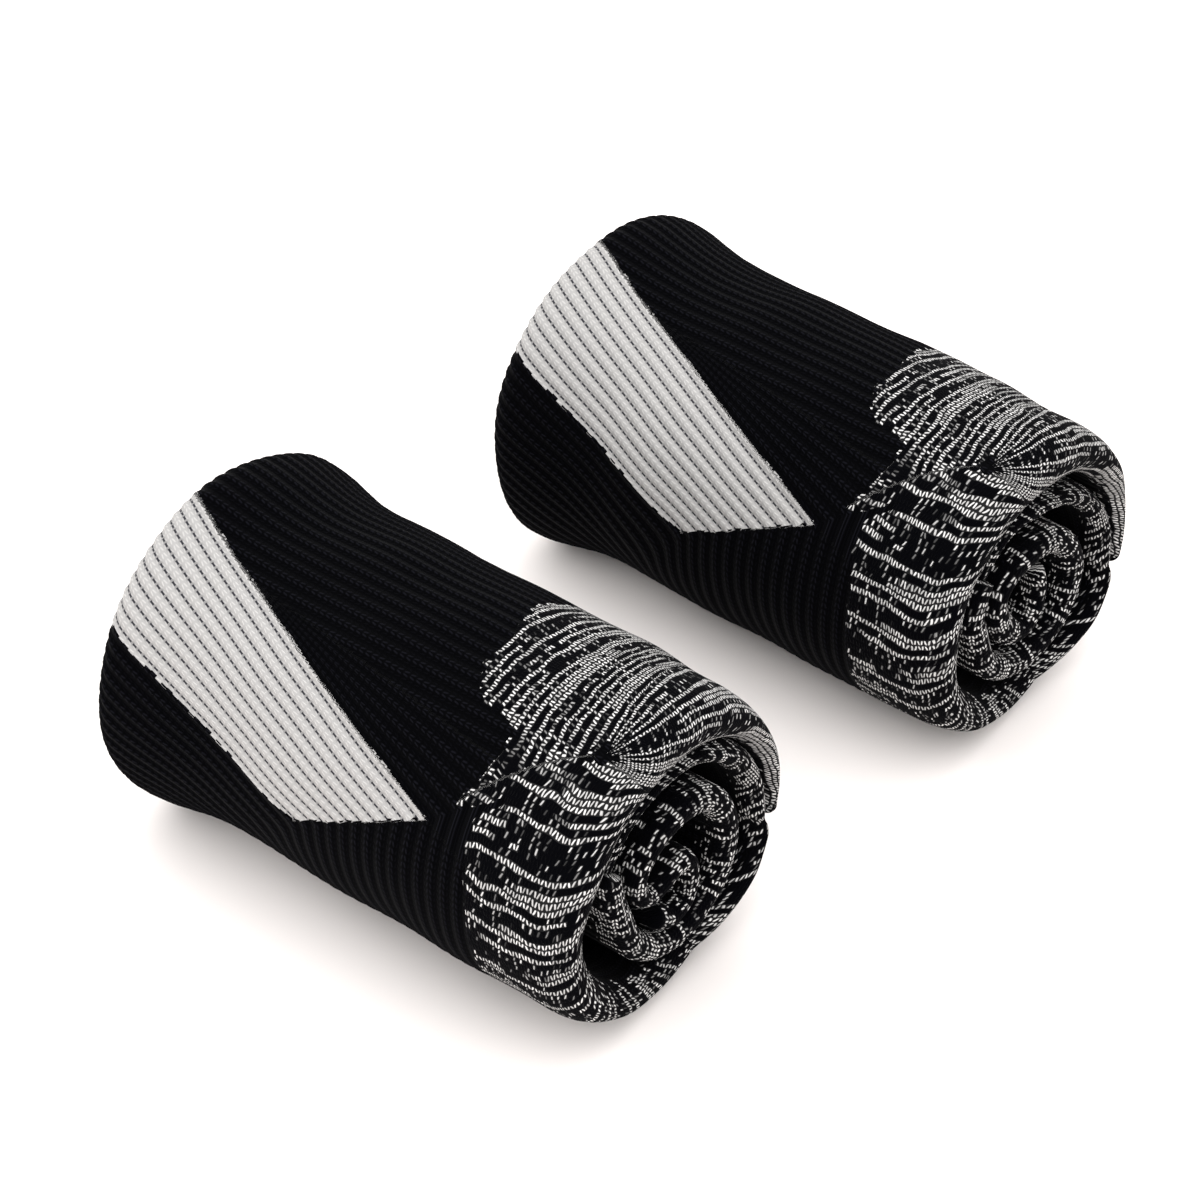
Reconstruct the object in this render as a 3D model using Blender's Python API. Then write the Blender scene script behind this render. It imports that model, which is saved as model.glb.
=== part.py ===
"""A pair of thick knitted sports socks, each laid flat and rolled up from its toe.

Each roll lies along X: the leg's folded edge is at -X, and the heel and the folded edge of the
sole are at +X. A flat sock is a double layer of cloth, so every turn of a roll is a wall of two
plies whose edges are rounded folds. A roll is three solids, a seam gap apart:

    leg_and_heel  the outermost turn, from its free edge behind the roll, over the top and the
                  front, to the flat underside
    foot_turn     the turn before it, from the underside up the back and under the outermost turn
    toe_roll      the turns inside, one rounded solid that is layered at both of its ends

An angle is counted about the roll's axis: 0 faces the front (-Y), 90 is the top, and it grows
outwards along the cloth, so the cloth one turn further in has an angle 360 lower.
"""

import math

import bmesh
import bpy
from mathutils import Vector

MM = 0.001

# The roll, in millimetres.
ROLL_LENGTH = 119.0
ROLL_RADIUS = 35.0
SETTLE = 2.0  # how far the soft roll has flattened where it rests
AXIS_HEIGHT = ROLL_RADIUS - SETTLE
WALL = 5.0  # two plies of terry-lined cloth
SEAM_GAP = 0.3

# How much wider than the roll the leg is towards its edge at -X.
FLARE_TABLE = (
    # x, extra radius
    (-60.0, 3.2),
    (-50.0, 2.4),
    (-44.0, 1.3),
    (-37.0, 0.1),
    (-30.0, -0.4),
    (-15.0, 0.0),
)

# Between these distances from the middle, the packed turns loosen to the shapes of their ends.
PACKED_TO = 30.0
LOOSE_FROM = 44.0
NECK = 37.0

# Where the turns start and stop, in degrees.
FREE_EDGE = 196.0
UNDERSIDE_SEAM = -105.0
INNER_SEAM = -330.0
TOE_START = INNER_SEAM - 1.0

# The heel's round corner, where the edge of the sole turns into the free edge.
HEEL_CORNER = 3.0

# The free edge is a rounded fold too: how long its rounding is, where it has points as shares of
# that length, and the share of the wall's thickness that is left at its tip.
FREE_EDGE_ROUND = 4.0
FREE_EDGE_POINTS = (0.6, 0.25, 0.06)
FREE_EDGE_TIP = 0.3

# The turns' rounded ends: how long the rounding is outside and inside the wall.
LEG_LIP = {"left_outer": 6.0, "left_inner": 5.0, "right_outer": 11.0, "right_inner": 5.5}
FOOT_LIP = {"left_outer": 4.0, "left_inner": 4.0, "right_outer": 5.0, "right_inner": 4.5}
TOE_LIP = {"left_outer": 3.2, "left_inner": 3.2, "right_outer": 3.2, "right_inner": 3.2}
LIP_STEPS = 3

# Between these angles the turn before takes on the outermost one's edge at -X, so that they meet
# as one surface at the underside seam.
MERGE_FROM = -160.0
MERGE_TO = -105.0

# Between these angles the rim of the foot's turn can hang down.
DROP_FROM = -325.0
DROP_TO = -178.0

# How far the turns' ends lie inside the roll's own ends: the outer two at -X, the toe at both.
LEG_RECESS = 0.7
FOOT_RECESS = 2.0
TOE_RECESS = (3.0, 0.8)  # at -X and at +X

# The outermost turn's ends: its outer face at +X, the inner face of both lips, and how far the
# edge at +X lies inside the roll's end.
LEG_TABLE = (
    # angle, outer radius at +X, inner radius at an end, recess at +X
    (-105.0, 31.8, 23.8, 3.0),
    (-80.0, 33.4, 24.0, 2.0),
    (-60.0, 34.6, 24.4, 0.8),
    (-30.0, 35.0, 25.2, 0.0),
    (0.0, 35.0, 25.6, 0.0),
    (45.0, 35.0, 24.2, 0.0),
    (90.0, 34.8, 23.2, 0.2),
    (130.0, 34.0, 25.0, 0.8),
    (165.0, 33.4, 27.9, 1.2),
    (180.0, 33.0, 29.4, 1.4),
    (188.0, 32.4, 30.0, 1.4),
    (196.0, 31.7, 30.5, 1.4),
)

# The turn before it, packed in the middle of the roll and loose at its ends.
FOOT_TABLE = (
    # angle, outer radius packed, outer radius at an end, inner radius at an end, recess at +X
    (-330.0, 29.6, 23.8, 18.6, 2.6),
    (-315.0, 29.6, 23.8, 18.8, 2.5),
    (-270.0, 29.6, 22.8, 18.4, 2.5),
    (-230.0, 29.6, 24.8, 19.8, 2.2),
    (-195.0, 29.6, 27.6, 22.2, 1.7),
    (-180.0, 29.6, 29.0, 23.6, 1.5),
    (-166.0, 29.6, 30.0, 25.4, 1.2),
    (-162.0, 30.1, 31.7, 27.4, 1.2),
    (-156.0, 30.8, 33.0, 29.0, 1.2),
    (-145.0, 31.8, 33.4, 28.8, 1.2),
    (-130.0, 33.2, 32.9, 27.0, 1.8),
    (-105.0, 35.0, 31.6, 23.8, 3.0),
)

# The toe's turns: a loop about a centre that hangs a little low, then a curl inside it.
LOOP_TABLE = (
    # angle about the loop's centre, middle radius, thickness
    (-338.0, 21.6, 5.6),
    (-358.0, 17.6, 5.8),
    (-385.0, 16.2, 5.8),
    (-450.0, 15.8, 5.8),
    (-540.0, 15.8, 5.8),
    (-600.0, 15.9, 5.6),
    (-636.0, 15.4, 5.2),
)
NEAR_CURL = (
    # y and z from the loop's centre, thickness
    (-7.9, 13.0, 4.8),
    (-12.2, 9.0, 4.6),
    (-12.6, 4.2, 4.4),
    (-9.9, 0.8, 4.2),
    (-5.6, 1.1, 4.2),
    (-0.9, 2.6, 4.2),
    (3.0, 1.4, 4.2),
    (3.8, -3.0, 4.2),
    (2.4, -7.6, 4.6),
    (-2.6, -9.4, 5.0),
    (-7.4, -6.6, 5.0),
)
FAR_CURL = (
    # y and z from the loop's centre, thickness
    (-7.9, 13.4, 4.8),
    (-11.6, 8.8, 4.6),
    (-11.0, 3.4, 5.4),
    (-8.6, -1.2, 6.6),
    (-5.0, -5.2, 6.0),
    (-0.8, -5.6, 4.8),
    (2.0, -2.4, 4.2),
    (2.8, 2.0, 4.2),
    (2.2, 6.0, 4.2),
    (0.8, 9.6, 4.0),
)

# Spacing of the facets.
TURN_STEP = 9.0  # degrees, along the two outer turns
CURL_STEP = 4.6  # millimetres, along the toe's turns
LOOP_STEP = 22.0  # degrees, between the points that the toe's loop is drawn through
CORE_STEP = 8.0  # degrees, round the solid of the hidden layers

# The solid of the hidden layers: its rounded ends, and the last degrees before it would close on
# itself at the inner seam, where its radius steps.
CORE_ROUND = 1.5
CORE_OPEN = 0.4

# Where the rolls lie, how they are turned and spun, how far the rim of the foot's turn hangs down
# inside the outermost turn, and the toe's loop: its centre, its width and height as shares of the
# loop's table, and the curl inside it.
SOCKS = {
    "near_sock": {
        "place": (-1.84, -56.0),
        "yaw": 0.8,
        "spin": 0.0,
        "rim_drop": 0.0,
        "loop_centre": (1.5, -3.4),
        "loop_size": (0.955, 0.955),
        "curl": NEAR_CURL,
    },
    "far_sock": {
        "place": (1.46, 56.0),
        "yaw": -0.8,
        "spin": 5.0,
        "rim_drop": 2.8,
        "loop_centre": (-0.8, -3.8),
        "loop_size": (0.98, 0.86),
        "curl": FAR_CURL,
    },
}

COLOURS = {
    "leg_and_heel": (0.010, 0.010, 0.013, 1.0),
    "foot_turn": (0.030, 0.030, 0.034, 1.0),
    "toe_roll": (0.110, 0.110, 0.115, 1.0),
}


def look_up(table, at, column):
    """A column of a table whose first column rises, on straight lines between its rows."""
    rows = sorted(table)
    if at <= rows[0][0]:
        return rows[0][column]
    for low, high in zip(rows, rows[1:]):
        if at <= high[0]:
            share = (at - low[0]) / (high[0] - low[0])
            return low[column] + share * (high[column] - low[column])
    return rows[-1][column]


def looseness(x):
    """0 where the turns are packed, 1 at both ends."""
    share = (abs(x) - PACKED_TO) / (LOOSE_FROM - PACKED_TO)
    return min(max(share, 0.0), 1.0)


def mix(packed, loose, x):
    return packed + (loose - packed) * looseness(x)


def leg_outer(x, end_radius):
    """The outermost turn's outer face: wider at the leg's edge, drawn in at the heel and sole."""
    if x > 0:
        return mix(ROLL_RADIUS, end_radius, x)
    return ROLL_RADIUS + look_up(FLARE_TABLE, x, 1)


def body_stations(left, right, lip):
    """The places along X between two lips where a wall has points."""
    low = left + max(lip["left_outer"], lip["left_inner"])
    high = right - max(lip["right_outer"], lip["right_inner"])
    right_half = (min(PACKED_TO, high - 2.0), min(LOOSE_FROM, high - 1.0), high)
    return [low, -LOOSE_FROM, -NECK, -PACKED_TO, 0.0, *right_half]


def section(left, right, lip, outer, inner):
    """A wall from its left edge to its right one, as pairs of points (x, height) on its two faces.

    outer and inner give the two faces' heights at x. Each edge is a half ellipse, so the first
    and the last pair are one point.
    """
    pairs = []
    left_outer, left_inner = outer(left + lip["left_outer"]), inner(left + lip["left_inner"])
    left_tip = (left_outer + left_inner) / 2
    for step in range(LIP_STEPS):
        turn = math.radians(90 * step / LIP_STEPS)
        along = 1 - math.cos(turn)
        pairs.append(
            (
                (left + lip["left_outer"] * along, left_tip + (left_outer - left_tip) * math.sin(turn)),
                (left + lip["left_inner"] * along, left_tip + (left_inner - left_tip) * math.sin(turn)),
            )
        )
    for x in body_stations(left, right, lip):
        pairs.append(((x, outer(x)), (x, inner(x))))
    right_outer, right_inner = outer(right - lip["right_outer"]), inner(right - lip["right_inner"])
    right_tip = (right_outer + right_inner) / 2
    for step in reversed(range(LIP_STEPS)):
        turn = math.radians(90 * step / LIP_STEPS)
        along = 1 - math.cos(turn)
        pairs.append(
            (
                (right - lip["right_outer"] * along, right_tip + (right_outer - right_tip) * math.sin(turn)),
                (right - lip["right_inner"] * along, right_tip + (right_inner - right_tip) * math.sin(turn)),
            )
        )
    return pairs


def thinned(pairs, share):
    """The same section with its two faces drawn together."""
    result = []
    for (outer_x, outer_h), (inner_x, inner_h) in pairs:
        middle = (outer_h + inner_h) / 2
        result.append(
            (
                (outer_x, middle + (outer_h - middle) * share),
                (inner_x, middle + (inner_h - middle) * share),
            )
        )
    return result


def swept_wall(name, rings):
    """A closed mesh through rings of (foot, normal, pairs).

    A ring's points stand on the line through foot (y, z) along normal (y, z), at the heights
    that its pairs give. Nothing reaches below the surface that the roll rests on.
    """
    shape = bmesh.new()

    def vertex(foot, normal, x, height):
        if normal[1] < 0:
            height = min(height, -(AXIS_HEIGHT + foot[1]) / normal[1])
        y = foot[0] + normal[0] * height
        z = AXIS_HEIGHT + foot[1] + normal[1] * height
        return shape.verts.new((x * MM, y * MM, max(z, 0.0) * MM))

    made = []
    for foot, normal, pairs in rings:
        outer = [vertex(foot, normal, *pair[0]) for pair in pairs]
        inner = [vertex(foot, normal, *pair[1]) for pair in pairs[1:-1]]
        made.append((outer, [outer[0], *inner, outer[-1]]))
    for (outer_a, inner_a), (outer_b, inner_b) in zip(made, made[1:]):
        for k in range(len(outer_a) - 1):
            shape.faces.new((outer_a[k], outer_a[k + 1], outer_b[k + 1], outer_b[k]))
            shape.faces.new((inner_a[k], inner_b[k], inner_b[k + 1], inner_a[k + 1]))
    for outer, inner in (made[0], made[-1]):
        for k in range(len(outer) - 1):
            corners = [outer[k], outer[k + 1], inner[k + 1], inner[k]]
            shape.faces.new(list(dict.fromkeys(corners)))
    bmesh.ops.recalc_face_normals(shape, faces=shape.faces)
    mesh = bpy.data.meshes.new(name)
    shape.to_mesh(mesh)
    shape.free()
    mesh.shade_smooth()
    return mesh


def turn_angles(low, high, extra=()):
    count = math.ceil((high - low) / TURN_STEP)
    angles = {low + (high - low) * k / count for k in range(count + 1)}
    return sorted(angles | set(extra))


def radial(angle):
    return (-math.cos(math.radians(angle)), math.sin(math.radians(angle)))


def leg_and_heel_mesh(name, spin):
    """The outermost turn: a round wall with thick lips, a free edge and the heel's corner."""
    round_over = math.degrees(FREE_EDGE_ROUND / ROLL_RADIUS)
    edge = [FREE_EDGE - round_over * share for share in FREE_EDGE_POINTS]
    rings = []
    for angle in turn_angles(UNDERSIDE_SEAM, FREE_EDGE, edge):
        end_radius = look_up(LEG_TABLE, angle, 1)
        lip_radius = look_up(LEG_TABLE, angle, 2)
        to_edge = math.radians(FREE_EDGE - angle) * ROLL_RADIUS
        short = HEEL_CORNER - min(to_edge, HEEL_CORNER)
        corner = HEEL_CORNER - math.sqrt(HEEL_CORNER**2 - short**2)
        pairs = section(
            -ROLL_LENGTH / 2 + LEG_RECESS,
            ROLL_LENGTH / 2 - corner - look_up(LEG_TABLE, angle, 3),
            LEG_LIP,
            lambda x: leg_outer(x, end_radius),
            lambda x: mix(ROLL_RADIUS - WALL, lip_radius, x),
        )
        past = 1 - min(to_edge / FREE_EDGE_ROUND, 1.0)
        pairs = thinned(pairs, max(math.sqrt(1 - past**2), FREE_EDGE_TIP))
        rings.append(((0.0, 0.0), radial(angle + spin), pairs))
    return swept_wall(name, rings)


def merged(angle):
    """0 where the foot's turn has its own edges, 1 where it meets the outermost turn."""
    share = (angle - MERGE_FROM) / (MERGE_TO - MERGE_FROM)
    share = min(max(share, 0.0), 1.0)
    return share * share * (3 - 2 * share)


def rim_hump(angle):
    """Where the rim of the foot's turn can hang down: 0 at both sides of the roll, 1 above."""
    share = min(max((angle - DROP_FROM) / (DROP_TO - DROP_FROM), 0.0), 1.0)
    return math.sin(math.pi * share) ** 2


def foot_turn_mesh(name, sock):
    """The turn before the outermost one, which shows at the back and at both ends."""
    spin = sock["spin"]
    start = UNDERSIDE_SEAM - math.degrees(SEAM_GAP / LEG_TABLE[0][2])
    rings = []
    for angle in turn_angles(INNER_SEAM, start, (-180.0, -166.0, -162.0, -156.0)):
        packed = look_up(FOOT_TABLE, angle, 1)
        drop = sock["rim_drop"] * rim_hump(angle)
        end_outer = look_up(FOOT_TABLE, angle, 2) - drop
        end_inner = look_up(FOOT_TABLE, angle, 3) - drop
        share = merged(angle)
        lip = {side: FOOT_LIP[side] + (LEG_LIP[side] - FOOT_LIP[side]) * share for side in FOOT_LIP}

        def outer(x):
            own = mix(packed, end_outer, x)
            flare = packed + look_up(FLARE_TABLE, x, 1)
            return own if x > 0 else own + (flare - own) * share

        pairs = section(
            -ROLL_LENGTH / 2 + FOOT_RECESS + (LEG_RECESS - FOOT_RECESS) * share,
            ROLL_LENGTH / 2 - look_up(FOOT_TABLE, angle, 4),
            lip,
            outer,
            lambda x: mix(packed - WALL, end_inner, x),
        )
        rings.append(((0.0, 0.0), radial(angle + spin), pairs))
    return swept_wall(name, rings)


def smooth_path(points, step):
    """Points about step apart on a smooth curve (Catmull-Rom) through rows of numbers."""
    rows = [Vector(points[0]) * 2 - Vector(points[1]), *map(Vector, points)]
    rows.append(rows[-1] * 2 - rows[-2])
    path = []
    for a, b, c, d in zip(rows, rows[1:], rows[2:], rows[3:]):
        count = max(1, round((c - b).length / step))
        for k in range(count):
            t = k / count
            path.append(
                0.5
                * (
                    2 * b
                    + (c - a) * t
                    + (2 * a - 5 * b + 4 * c - d) * t**2
                    + (3 * b - a - 3 * c + d) * t**3
                )
            )
    path.append(rows[-2])
    return path


def toe_path(sock):
    """The middle of the toe's wall, from the inner seam to the toe, as (y, z, thickness)."""
    middle_y, middle_z = sock["loop_centre"]
    width, height = sock["loop_size"]
    start_outer, start_inner = FOOT_TABLE[0][2:4]
    start_y, start_z = radial(TOE_START)
    middle = (start_outer + start_inner) / 2
    route = [(start_y * middle, start_z * middle, start_outer - start_inner)]
    for (angle, radius, thick), after in zip(LOOP_TABLE, [*LOOP_TABLE[1:], None]):
        stops = 1 if after is None else max(1, round((angle - after[0]) / LOOP_STEP))
        for k in range(stops):
            at = angle if after is None else angle + (after[0] - angle) * k / stops
            radius_here = radius if after is None else radius + (after[1] - radius) * k / stops
            y, z = radial(at)
            across, up = y * radius_here * width, z * radius_here * height
            route.append((middle_y + across, middle_z + up, thick))
    route += [(middle_y + y * width, middle_z + z * height, t) for y, z, t in sock["curl"]]
    return smooth_path(route, CURL_STEP)


def turned(y, z, spin):
    c, s = math.cos(math.radians(spin)), math.sin(math.radians(spin))
    return (y * c + z * s, z * c - y * s)


def toe_wall_mesh(name, sock):
    spin = sock["spin"]
    path = toe_path(sock)
    rings = []
    for k, point in enumerate(path):
        ahead = path[min(k + 1, len(path) - 1)] - path[max(k - 1, 0)]
        length = math.hypot(ahead[0], ahead[1])
        normal = turned(ahead[1] / length, -ahead[0] / length, spin)
        if k == 0:
            normal = radial(TOE_START + spin)
        half = point[2] / 2
        pairs = section(
            -ROLL_LENGTH / 2 + TOE_RECESS[0],
            ROLL_LENGTH / 2 - TOE_RECESS[1],
            TOE_LIP,
            lambda x: half,
            lambda x: -half,
        )
        rings.append((turned(point[0], point[1], spin), normal, pairs))
    return swept_wall(name, rings)


def core_radius(angle):
    """The hidden layers reach to just under the turn around them."""
    if angle >= UNDERSIDE_SEAM - 1.0:
        return ROLL_RADIUS - WALL - 2 * SEAM_GAP
    return look_up(FOOT_TABLE, angle, 1) - WALL - 2 * SEAM_GAP


def core_mesh(name, spin):
    """The hidden layers: a rounded solid that fills the two outer turns where they are packed."""
    first = INNER_SEAM + 360 - math.degrees(3 * SEAM_GAP / ROLL_RADIUS)
    count = math.floor((360 - CORE_OPEN) / CORE_STEP) + 1
    angles = [first - CORE_STEP * k for k in range(count)]
    angles.append(first - 360 + CORE_OPEN)
    ends = (
        # x, how much smaller the solid is there
        (-PACKED_TO, CORE_ROUND),
        (-PACKED_TO + CORE_ROUND, 0.0),
        (PACKED_TO - CORE_ROUND, 0.0),
        (PACKED_TO, CORE_ROUND),
    )
    shape = bmesh.new()
    rings = []
    for x, inset in ends:
        ring = []
        for angle in angles:
            y, z = radial(angle + spin)
            reach = core_radius(angle) - inset
            ring.append(shape.verts.new((x * MM, y * reach * MM, (AXIS_HEIGHT + z * reach) * MM)))
        rings.append(ring)
    for ring, after in zip(rings, rings[1:]):
        for k in range(len(ring)):
            n = (k + 1) % len(ring)
            shape.faces.new((ring[k], ring[n], after[n], after[k]))
    shape.faces.new(rings[0])
    shape.faces.new(rings[-1])
    bmesh.ops.recalc_face_normals(shape, faces=shape.faces)
    mesh = bpy.data.meshes.new(name)
    shape.to_mesh(mesh)
    shape.free()
    return mesh


def cloth_material(piece):
    material = bpy.data.materials.new(f"{piece}_knit")
    material.use_nodes = True
    shader = material.node_tree.nodes["Principled BSDF"]
    shader.inputs["Base Color"].default_value = COLOURS[piece]
    shader.inputs["Roughness"].default_value = 0.95
    shader.inputs["Metallic"].default_value = 0.0
    return material


def placed(name, mesh, sock):
    """An object of that mesh, where the sock lies."""
    thing = bpy.data.objects.new(name, mesh)
    thing.location = (sock["place"][0] * MM, sock["place"][1] * MM, 0.0)
    thing.rotation_euler.z = math.radians(sock["yaw"])
    bpy.context.scene.collection.objects.link(thing)
    return thing


def build_sock(name, sock, materials):
    spin = sock["spin"]
    pieces = {
        "leg_and_heel": leg_and_heel_mesh(f"{name}_leg_and_heel", spin),
        "foot_turn": foot_turn_mesh(f"{name}_foot_turn", sock),
        "toe_roll": toe_wall_mesh(f"{name}_toe_roll", sock),
    }
    for piece, mesh in pieces.items():
        mesh.materials.append(materials[piece])
        thing = placed(f"{name}_{piece}", mesh, sock)
        if piece == "toe_roll":
            core = placed(f"{name}_hidden_layers", core_mesh(f"{name}_hidden_layers", spin), sock)
            core.hide_render = True
            core.display_type = "WIRE"
            union = thing.modifiers.new("hidden_layers", "BOOLEAN")
            union.operation = "UNION"
            union.object = core


def main():
    for thing in list(bpy.data.objects):
        bpy.data.objects.remove(thing)
    materials = {piece: cloth_material(piece) for piece in COLOURS}
    for name, sock in SOCKS.items():
        build_sock(name, sock, materials)


main()
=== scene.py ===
# %% [markdown]
# # A pair of rolled sports socks
# A thick knitted sock is a tube. Laid flat it is a double layer of cloth, and rolled up from its
# toe it becomes a short, soft cylinder: a spiral of cloth whose folded edges show at both ends.
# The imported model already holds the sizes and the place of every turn. This lesson gives each
# turn its real surface: the ribs of the leg, the stitches of the heel and sole, and soft edges.

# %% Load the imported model
import math

import bpy
import numpy as np
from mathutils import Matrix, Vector


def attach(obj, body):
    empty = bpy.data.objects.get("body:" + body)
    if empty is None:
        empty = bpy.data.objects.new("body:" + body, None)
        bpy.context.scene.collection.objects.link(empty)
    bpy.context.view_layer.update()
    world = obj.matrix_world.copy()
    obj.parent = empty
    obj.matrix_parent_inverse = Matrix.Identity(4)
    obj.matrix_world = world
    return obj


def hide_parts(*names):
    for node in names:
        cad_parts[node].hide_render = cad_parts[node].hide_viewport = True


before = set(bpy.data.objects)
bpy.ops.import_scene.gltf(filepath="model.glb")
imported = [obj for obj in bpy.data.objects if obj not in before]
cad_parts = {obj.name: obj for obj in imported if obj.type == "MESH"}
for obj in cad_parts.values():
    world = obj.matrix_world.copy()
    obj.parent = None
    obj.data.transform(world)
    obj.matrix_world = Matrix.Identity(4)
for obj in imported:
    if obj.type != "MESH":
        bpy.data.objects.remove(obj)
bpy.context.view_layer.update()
print("nodes:", ", ".join(sorted(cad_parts)))

# %% [markdown]
# ## The sizes of a roll
# Cloth that is wound up is easiest to think of in two distances: s, along the roll from its
# middle, and w, along the cloth round the roll. These sizes and short tables are those of the
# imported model, in millimetres and degrees. An angle of 0 faces the front, 90 is the top, and it
# grows outwards along the cloth, so that one turn further in the angle is 360 lower.

# %% Sizes and tables
MM = 0.001
ROLL_LENGTH, ROLL_RADIUS, WALL = 119.0, 35.0, 5.0
AXIS_HEIGHT = 33.0
PACKED_TO, LOOSE_FROM = 30.0, 44.0
FREE_EDGE, UNDERSIDE_SEAM, INNER_SEAM = 196.0, -105.0, -330.0
HEEL_CORNER, FREE_EDGE_ROUND = 3.0, 4.0
SEAM_GAP = 0.3

FLARE_TABLE = (
    # x, extra radius of the leg towards its edge
    (-60.0, 3.2), (-50.0, 2.4), (-44.0, 1.3), (-37.0, 0.1), (-30.0, -0.4), (-15.0, 0.0),
)
LEG_TABLE = (
    # angle, outer radius at +X, inner radius at an end, recess at +X
    (-105.0, 31.8, 23.8, 3.0), (-80.0, 33.4, 24.0, 2.0), (-60.0, 34.6, 24.4, 0.8),
    (-30.0, 35.0, 25.2, 0.0), (0.0, 35.0, 25.6, 0.0), (45.0, 35.0, 24.2, 0.0),
    (90.0, 34.8, 23.2, 0.2), (130.0, 34.0, 25.0, 0.8), (165.0, 33.4, 27.9, 1.2),
    (180.0, 33.0, 29.4, 1.4), (188.0, 32.4, 30.0, 1.4), (196.0, 31.7, 30.5, 1.4),
)
FOOT_TABLE = (
    # angle, outer radius packed, outer radius at an end, inner radius at an end, recess at +X
    (-330.0, 29.6, 23.8, 18.6, 2.6), (-315.0, 29.6, 23.8, 18.8, 2.5),
    (-270.0, 29.6, 22.8, 18.4, 2.5), (-230.0, 29.6, 24.8, 19.8, 2.2),
    (-195.0, 29.6, 27.6, 22.2, 1.7), (-180.0, 29.6, 29.0, 23.6, 1.5),
    (-166.0, 29.6, 30.0, 25.4, 1.2), (-162.0, 30.1, 31.7, 27.4, 1.2),
    (-156.0, 30.8, 33.0, 29.0, 1.2), (-145.0, 31.8, 33.4, 28.8, 1.2),
    (-130.0, 33.2, 32.9, 27.0, 1.8), (-105.0, 35.0, 31.6, 23.8, 3.0),
)
MERGE_FROM, MERGE_TO = -160.0, -105.0  # where the foot's turn takes on the leg's edge at -X
DROP_FROM, DROP_TO = -325.0, -178.0  # where its rim can hang down
LOOP_TABLE = (
    # angle about the loop's centre, middle radius, thickness
    (-338.0, 21.6, 5.6), (-358.0, 17.6, 5.8), (-385.0, 16.2, 5.8), (-450.0, 15.8, 5.8),
    (-540.0, 15.8, 5.8), (-600.0, 15.9, 5.6), (-636.0, 15.4, 5.2),
)
NEAR_CURL = (
    # y and z from the loop's centre, thickness
    (-7.9, 13.0, 4.8), (-12.2, 9.0, 4.6), (-12.6, 4.2, 4.4), (-9.9, 0.8, 4.2), (-5.6, 1.1, 4.2),
    (-0.9, 2.6, 4.2), (3.0, 1.4, 4.2), (3.8, -3.0, 4.2), (2.4, -7.6, 4.6), (-2.6, -9.4, 5.0),
    (-7.4, -6.6, 5.0),
)
FAR_CURL = (
    # y and z from the loop's centre, thickness
    (-7.9, 13.4, 4.8), (-11.6, 8.8, 4.6), (-11.0, 3.4, 5.4), (-8.6, -1.2, 6.6),
    (-5.0, -5.2, 6.0), (-0.8, -5.6, 4.8), (2.0, -2.4, 4.2),
    (2.8, 2.0, 4.2), (2.2, 6.0, 4.2), (0.8, 9.6, 4.0),
)
# How far the turns' ends lie inside the roll's ends, and how long their rounding is:
# outer face at -X, inner face at -X, outer face at +X, inner face at +X.
LEG_RECESS, FOOT_RECESS, TOE_RECESS = 0.7, 2.0, (3.0, 0.8)
LEG_LIP = (6.0, 5.0, 11.0, 5.5)
FOOT_LIP = (4.0, 4.0, 5.0, 4.5)
TOE_LIP = (3.2, 3.2, 3.2, 3.2)

SOCKS = {
    "near_sock": {
        "place": (-1.84, -56.0), "yaw": 0.8, "spin": 0.0, "rim_drop": 0.0,
        "loop_centre": (1.5, -3.4), "loop_size": (0.955, 0.955), "curl": NEAR_CURL,
    },
    "far_sock": {
        "place": (1.46, 56.0), "yaw": -0.8, "spin": 5.0, "rim_drop": 2.8,
        "loop_centre": (-0.8, -3.8), "loop_size": (0.98, 0.86), "curl": FAR_CURL,
    },
}


def smooth_curve(at, xs, ys):
    """Values on a smooth curve through points, which never swings past them."""
    xs, ys = np.asarray(xs, float), np.asarray(ys, float)
    step = np.diff(xs)
    slope = np.diff(ys) / step
    same_way = slope[:-1] * slope[1:] > 0
    total = np.where(same_way, slope[:-1] + slope[1:], 1.0)
    bend = np.where(same_way, 2 * slope[:-1] * slope[1:] / total, 0.0)
    tangent = np.concatenate([slope[:1], bend, slope[-1:]])
    at = np.clip(at, xs[0], xs[-1])
    k = np.clip(np.searchsorted(xs, at, side="right") - 1, 0, len(xs) - 2)
    t = (at - xs[k]) / step[k]
    ahead = t * t * (3 - 2 * t)
    return (
        (1 - ahead) * ys[k]
        + ahead * ys[k + 1]
        + step[k] * t * (1 - t) * ((1 - t) * tangent[k] - t * tangent[k + 1])
    )


def column(table, at, n):
    """A table's column n, read smoothly along its first column."""
    rows = sorted(table)
    return smooth_curve(at, [row[0] for row in rows], [row[n] for row in rows])


def soft_step(x, low, high):
    """0 below low, 1 above high, and smooth between them."""
    t = np.clip((x - low) / (high - low), 0.0, 1.0)
    return t * t * (3 - 2 * t)


def looseness(x):
    """0 where the turns are packed, 1 at both ends."""
    return soft_step(np.abs(x), PACKED_TO, LOOSE_FROM)


def radial(angle):
    """The way out from the roll's axis, as y and z."""
    angle = np.radians(angle)
    return -np.cos(angle), np.sin(angle)


# %% [markdown]
# ## The direction of the knit
# Knitted cloth has wales, the columns of stitches, and courses, the rows across them. On the leg
# the wales form ribs that run along the roll. At the front of the ankle they bend round and run
# down over the instep, which is wound under the roll. A number that rises by one from rib to rib
# describes all of this: its level lines are the ribs. Near the instep they are arcs round one
# point, further out they straighten into a slanting run and then turn down.

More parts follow.
